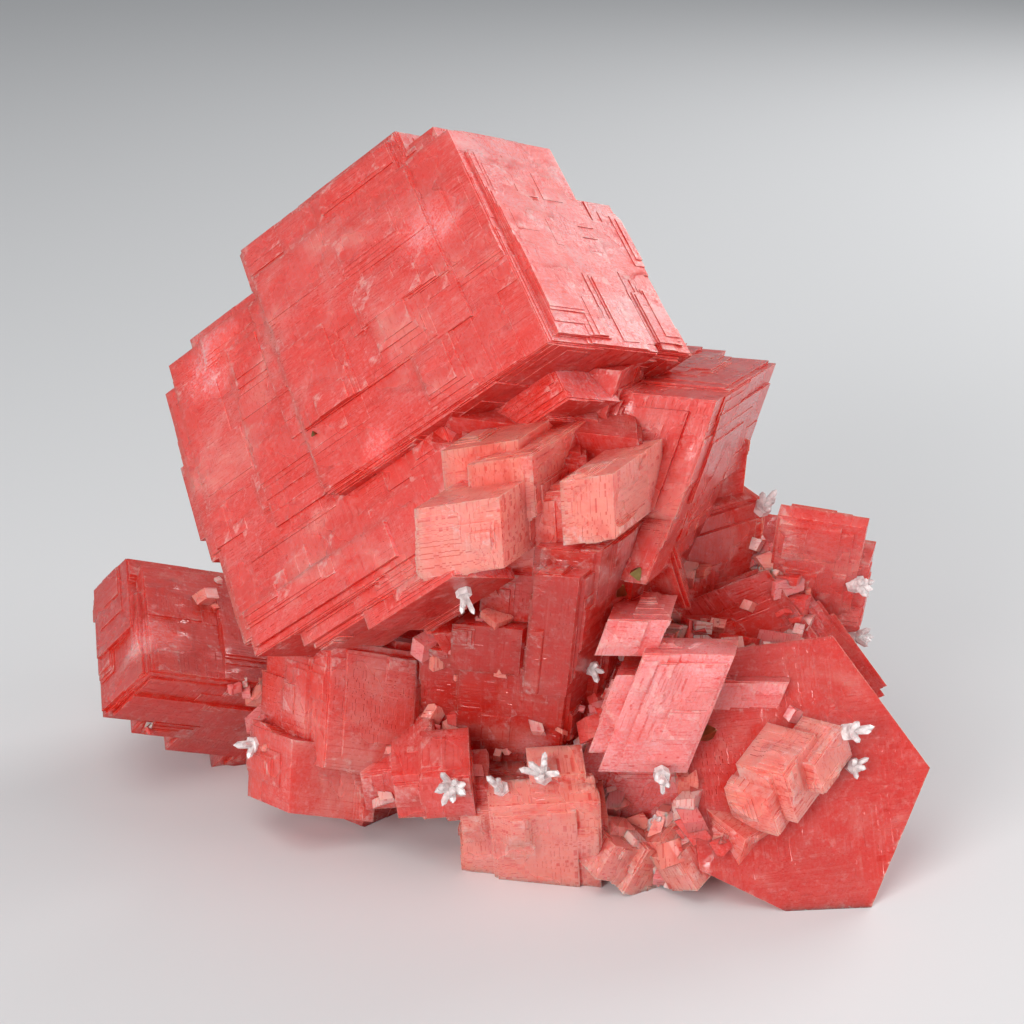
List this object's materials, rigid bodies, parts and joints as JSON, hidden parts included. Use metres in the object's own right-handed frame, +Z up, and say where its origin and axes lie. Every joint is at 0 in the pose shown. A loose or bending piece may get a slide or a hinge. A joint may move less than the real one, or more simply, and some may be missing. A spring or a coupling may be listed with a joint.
{
  "type": "rhodochrosite specimen",
  "caption": "Cabinet-size cluster of intergrown rhombohedral rhodochrosite crystals with quartz sprays and chalcopyrite grains, resting on flat faces of its own.",
  "frame": {"origin": "centre of the bounding box in X and Y, at the base the specimen rests on", "axes": "+Z up, +X along the specimen's width, -Y towards the show side"},
  "size_m": [0.107, 0.0746, 0.0851],
  "materials": {
    "rhodochrosite": "translucent rose-red crystal with stepped, vitreous faces",
    "quartz": "colourless to milky needles",
    "chalcopyrite": "brassy metallic crystals"
  },
  "bodies": {
    "root": {"rhodochrosite": "rhodochrosite", "quartz_rosette": "quartz", "quartz_foot": "quartz", "quartz_foot_left": "quartz", "quartz_window": "quartz", "quartz_tooth": "quartz", "quartz_under_plate": "quartz", "quartz_low": "quartz", "quartz_crust_top": "quartz", "quartz_crust_right": "quartz", "quartz_crust_low": "quartz", "quartz_tablet_top": "quartz", "quartz_tablet": "quartz", "quartz_left_bar": "quartz", "chalcopyrite_1": "chalcopyrite", "chalcopyrite_2": "chalcopyrite", "chalcopyrite_3": "chalcopyrite", "chalcopyrite_4": "chalcopyrite"}
  },
  "joints": []
}
